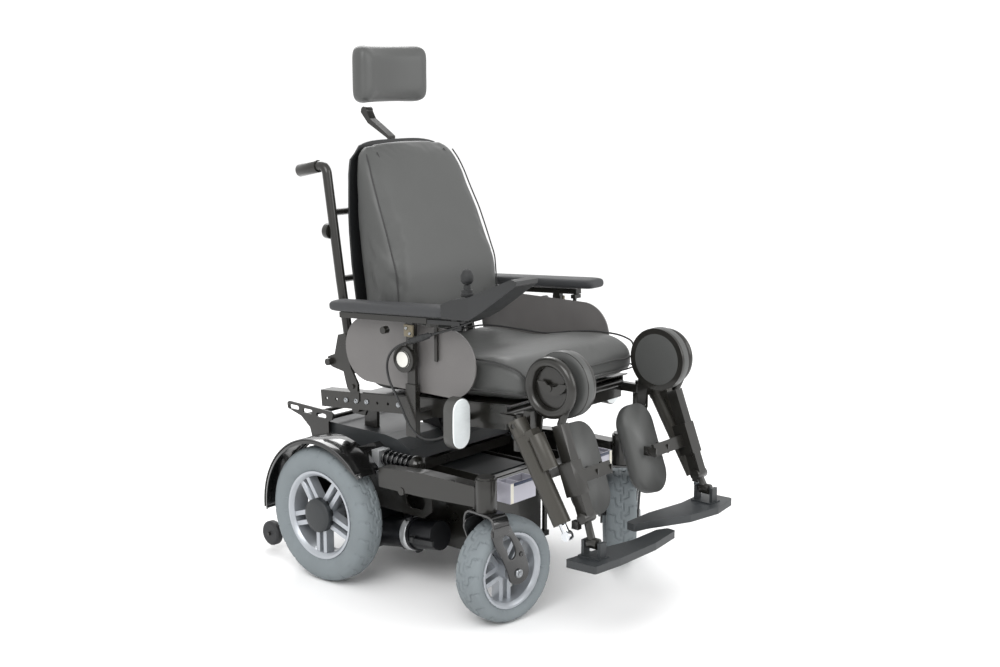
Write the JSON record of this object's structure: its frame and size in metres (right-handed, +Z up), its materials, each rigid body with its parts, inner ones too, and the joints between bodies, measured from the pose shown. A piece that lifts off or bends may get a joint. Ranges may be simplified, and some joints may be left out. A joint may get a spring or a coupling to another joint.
{
  "type": "power wheelchair",
  "caption": "Rear-wheel-drive power wheelchair with tilting seat, reclining back, headrest, joystick armrest and elevating powered leg rests.",
  "frame": {"origin": "on the ground under the middle of the bounding box", "axes": "+X forward, +Y to the rider's left, +Z up"},
  "size_m": [1.188, 0.7796, 1.373],
  "materials": {
    "tyre_grey": "matt non-marking rubber",
    "rim_silver": "satin cast",
    "wheel_black": "matt",
    "gloss_black": "gloss powder coat",
    "spring_black": "satin",
    "plastic_black": "textured",
    "chrome": "polished",
    "leatherette": "grained leatherette",
    "frame_satin": "satin powder coat",
    "guard_grey": "satin translucent",
    "plastic_dark": "satin",
    "fascia_silver": "satin",
    "motor_metal": "cast and painted",
    "lamp_housing": "satin with clear lens",
    "cable_black": "matt"
  },
  "bodies": {
    "root": {"chassis_frame": "gloss_black", "battery_pack": "plastic_dark", "battery_cover": "plastic_dark", "power_module": "plastic_dark", "front_fascia": "fascia_silver", "drive_motors": "motor_metal", "mudguards": "gloss_black", "luggage_rack": "frame_satin", "shock_dampers": "fascia_silver", "shock_spring_right": "spring_black", "shock_spring_left": "spring_black"},
    "drive_wheel_right": {"drive_tyre_right": "tyre_grey", "drive_rim_right": "rim_silver"},
    "freewheel_lever_right": {"freewheel_lever_right": "plastic_black"},
    "anti_tip_wheel_right": {"anti_tip_wheel_right": "wheel_black"},
    "caster_arm_right": {"caster_arm_right": "gloss_black"},
    "caster_fork_right": {"caster_fork_right": "gloss_black"},
    "caster_wheel_right": {"caster_rim_right": "rim_silver", "caster_tyre_right": "tyre_grey"},
    "drive_wheel_left": {"drive_tyre_left": "tyre_grey", "drive_rim_left": "rim_silver"},
    "freewheel_lever_left": {"freewheel_lever_left": "plastic_black"},
    "anti_tip_wheel_left": {"anti_tip_wheel_left": "wheel_black"},
    "caster_arm_left": {"caster_arm_left": "gloss_black"},
    "caster_fork_left": {"caster_fork_left": "gloss_black"},
    "caster_wheel_left": {"caster_rim_left": "rim_silver", "caster_tyre_left": "tyre_grey"},
    "seat": {"seat_frame": "frame_satin", "seat_cushion": "leatherette", "head_lamps": "lamp_housing"},
    "tilt_actuator": {"tilt_actuator": "plastic_black"},
    "tilt_rod": {"tilt_rod": "chrome"},
    "back": {"back_frame": "frame_satin", "back_shell": "plastic_dark", "back_cushion": "leatherette"},
    "headrest_bar": {"headrest_bar": "frame_satin"},
    "headrest": {"headrest_pad": "leatherette"},
    "armrest_right": {"armrest_frame_right": "frame_satin", "armrest_pad_right": "leatherette", "side_guard_right": "guard_grey", "joystick_module": "plastic_black", "joystick_cable": "cable_black"},
    "armrest_left": {"armrest_frame_left": "frame_satin", "armrest_pad_left": "leatherette", "side_guard_left": "guard_grey"},
    "joystick_gimbal": {"joystick_gimbal": "chrome"},
    "joystick_stick": {"joystick_stick": "plastic_black"},
    "power_button": {"power_button": "plastic_black"},
    "leg_hanger_right": {"leg_hanger_right": "gloss_black"},
    "leg_right": {"leg_tube_right": "gloss_black"},
    "leg_actuator_right": {"leg_actuator_right": "plastic_black"},
    "leg_rod_right": {"leg_rod_right": "chrome"},
    "footplate_right": {"footplate_right": "plastic_black"},
    "calf_pad_right": {"calf_pad_right": "leatherette"},
    "leg_hanger_left": {"leg_hanger_left": "gloss_black"},
    "leg_left": {"leg_tube_left": "gloss_black"},
    "leg_actuator_left": {"leg_actuator_left": "plastic_black"},
    "leg_rod_left": {"leg_rod_left": "chrome"},
    "footplate_left": {"footplate_left": "plastic_black"},
    "calf_pad_left": {"calf_pad_left": "leatherette"}
  },
  "joints": [
    {"name": "drive_wheel_spin_right", "type": "hinge", "parent": "root", "child": "drive_wheel_right", "pos_m": [-0.272, -0.34115, 0.178], "axis": [0, 1, 0], "continuous": true},
    {"name": "freewheel_lever_right", "type": "hinge", "parent": "root", "child": "freewheel_lever_right", "pos_m": [-0.05, -0.25615, 0.13], "axis": [0, 0, -1], "range_deg": [0, 35]},
    {"name": "anti_tip_spin_right", "type": "hinge", "parent": "root", "child": "anti_tip_wheel_right", "pos_m": [-0.56, -0.28415, 0.046], "axis": [0, 1, 0], "continuous": true},
    {"name": "suspension_right", "type": "hinge", "parent": "root", "child": "caster_arm_right", "pos_m": [-0.01, -0.31515, 0.285], "axis": [0, -1, 0], "range_deg": [0, 5], "stiffness_Nm_per_rad": 1800, "springref_deg": -5.73, "deforming": ["shock_spring_right"]},
    {"name": "caster_swivel_right", "type": "hinge", "parent": "caster_arm_right", "child": "caster_fork_right", "pos_m": [0.253, -0.31615, 0.3], "axis": [0, 0, 1], "continuous": true},
    {"name": "caster_spin_right", "type": "hinge", "parent": "caster_fork_right", "child": "caster_wheel_right", "pos_m": [0.25965, -0.25954, 0.13], "axis": [-0.9932, 0.1167, 0], "continuous": true},
    {"name": "drive_wheel_spin_left", "type": "hinge", "parent": "root", "child": "drive_wheel_left", "pos_m": [-0.272, 0.25285, 0.178], "axis": [0, 1, 0], "continuous": true},
    {"name": "freewheel_lever_left", "type": "hinge", "parent": "root", "child": "freewheel_lever_left", "pos_m": [-0.05, 0.16785, 0.13], "axis": [0, 0, 1], "range_deg": [0, 35]},
    {"name": "anti_tip_spin_left", "type": "hinge", "parent": "root", "child": "anti_tip_wheel_left", "pos_m": [-0.56, 0.19585, 0.046], "axis": [0, 1, 0], "continuous": true},
    {"name": "suspension_left", "type": "hinge", "parent": "root", "child": "caster_arm_left", "pos_m": [-0.01, 0.22685, 0.285], "axis": [0, -1, 0], "range_deg": [0, 5], "stiffness_Nm_per_rad": 1800, "springref_deg": -5.73, "deforming": ["shock_spring_left"]},
    {"name": "caster_swivel_left", "type": "hinge", "parent": "caster_arm_left", "child": "caster_fork_left", "pos_m": [0.253, 0.22785, 0.3], "axis": [0, 0, 1], "continuous": true},
    {"name": "caster_spin_left", "type": "hinge", "parent": "caster_fork_left", "child": "caster_wheel_left", "pos_m": [0.21694, 0.27199, 0.13], "axis": [-0.7744, -0.6327, 0], "continuous": true},
    {"name": "seat_tilt", "type": "hinge", "parent": "root", "child": "seat", "pos_m": [-0.252, -0.04415, 0.44], "axis": [0, -1, 0], "range_deg": [0, 20]},
    {"name": "tilt_actuator_swing", "type": "hinge", "parent": "root", "child": "tilt_actuator", "pos_m": [-0.212, -0.04415, 0.352], "axis": [0, -1, 0], "range_deg": [0, 19.2]},
    {"name": "tilt_rod_slide", "type": "slide", "parent": "tilt_actuator", "child": "tilt_rod", "axis": [0.9163, 0, 0.4005], "range_m": [0, 0.0334]},
    {"name": "back_recline", "type": "hinge", "parent": "seat", "child": "back", "pos_m": [-0.224, -0.04415, 0.511], "axis": [0, -1, 0], "range_deg": [0, 30]},
    {"name": "headrest_height", "type": "slide", "parent": "back", "child": "headrest_bar", "axis": [0, 0, 1], "range_m": [0, 0.06]},
    {"name": "headrest_tilt", "type": "hinge", "parent": "headrest_bar", "child": "headrest", "pos_m": [-0.406, -0.04415, 1.2], "axis": [0, 1, 0], "range_deg": [-15, 15]},
    {"name": "armrest_height_right", "type": "slide", "parent": "seat", "child": "armrest_right", "axis": [0, 0, 1], "range_m": [0, 0.06]},
    {"name": "armrest_height_left", "type": "slide", "parent": "seat", "child": "armrest_left", "axis": [0, 0, 1], "range_m": [0, 0.06]},
    {"name": "joystick_sideways", "type": "hinge", "parent": "armrest_right", "child": "joystick_gimbal", "pos_m": [0.212, -0.33415, 0.782], "axis": [1, 0, 0], "range_deg": [-18, 18], "stiffness_Nm_per_rad": 0.5},
    {"name": "joystick_fore_aft", "type": "hinge", "parent": "joystick_gimbal", "child": "joystick_stick", "pos_m": [0.212, -0.33415, 0.782], "axis": [0, 1, 0], "range_deg": [-18, 18], "stiffness_Nm_per_rad": 0.5},
    {"name": "power_button_press", "type": "slide", "parent": "armrest_right", "child": "power_button", "axis": [0.3903, 0, -0.9207], "range_m": [0, 0.0015], "stiffness_N_per_m": 600},
    {"name": "leg_swing_right", "type": "hinge", "parent": "seat", "child": "leg_hanger_right", "pos_m": [0.328, -0.28215, 0.48], "axis": [0, 0, -1], "range_deg": [0, 80]},
    {"name": "leg_elevation_right", "type": "hinge", "parent": "leg_hanger_right", "child": "leg_right", "pos_m": [0.417, -0.27615, 0.601], "axis": [0, -1, 0], "range_deg": [0, 55]},
    {"name": "leg_actuator_swing_right", "type": "hinge", "parent": "leg_hanger_right", "child": "leg_actuator_right", "pos_m": [0.353, -0.31615, 0.511], "axis": [0, -1, 0], "range_deg": [0, 54]},
    {"name": "leg_rod_slide_right", "type": "slide", "parent": "leg_actuator_right", "child": "leg_rod_right", "axis": [0.5241, 0, -0.8517], "range_m": [0, 0.102]},
    {"name": "footplate_flip_right", "type": "hinge", "parent": "leg_right", "child": "footplate_right", "pos_m": [0.541, -0.27615, 0.259], "axis": [1, 0, 0], "range_deg": [0, 90]},
    {"name": "calf_pad_tilt_right", "type": "hinge", "parent": "leg_right", "child": "calf_pad_right", "pos_m": [0.46, -0.16215, 0.392], "axis": [0, 1, 0], "range_deg": [-8, 8]},
    {"name": "leg_swing_left", "type": "hinge", "parent": "seat", "child": "leg_hanger_left", "pos_m": [0.328, 0.19385, 0.48], "axis": [0, 0, 1], "range_deg": [0, 80]},
    {"name": "leg_elevation_left", "type": "hinge", "parent": "leg_hanger_left", "child": "leg_left", "pos_m": [0.417, 0.18785, 0.601], "axis": [0, -1, 0], "range_deg": [0, 55]},
    {"name": "leg_actuator_swing_left", "type": "hinge", "parent": "leg_hanger_left", "child": "leg_actuator_left", "pos_m": [0.353, 0.22785, 0.511], "axis": [0, -1, 0], "range_deg": [0, 54]},
    {"name": "leg_rod_slide_left", "type": "slide", "parent": "leg_actuator_left", "child": "leg_rod_left", "axis": [0.5241, 0, -0.8517], "range_m": [0, 0.102]},
    {"name": "footplate_flip_left", "type": "hinge", "parent": "leg_left", "child": "footplate_left", "pos_m": [0.541, 0.18785, 0.281], "axis": [-1, 0, 0], "range_deg": [0, 90]},
    {"name": "calf_pad_tilt_left", "type": "hinge", "parent": "leg_left", "child": "calf_pad_left", "pos_m": [0.46, 0.07385, 0.392], "axis": [0, 1, 0], "range_deg": [-8, 8]}
  ],
  "couplings": [
    {"joint": "tilt_actuator_swing", "follows": "seat_tilt", "ratio": 0.9535},
    {"joint": "tilt_rod_slide", "follows": "seat_tilt", "m_per_rad": 0.0949},
    {"joint": "leg_actuator_swing_right", "follows": "leg_elevation_right", "ratio": 0.978},
    {"joint": "leg_rod_slide_right", "follows": "leg_elevation_right", "m_per_rad": 0.1059},
    {"joint": "leg_actuator_swing_left", "follows": "leg_elevation_left", "ratio": 0.978},
    {"joint": "leg_rod_slide_left", "follows": "leg_elevation_left", "m_per_rad": 0.1059}
  ]
}
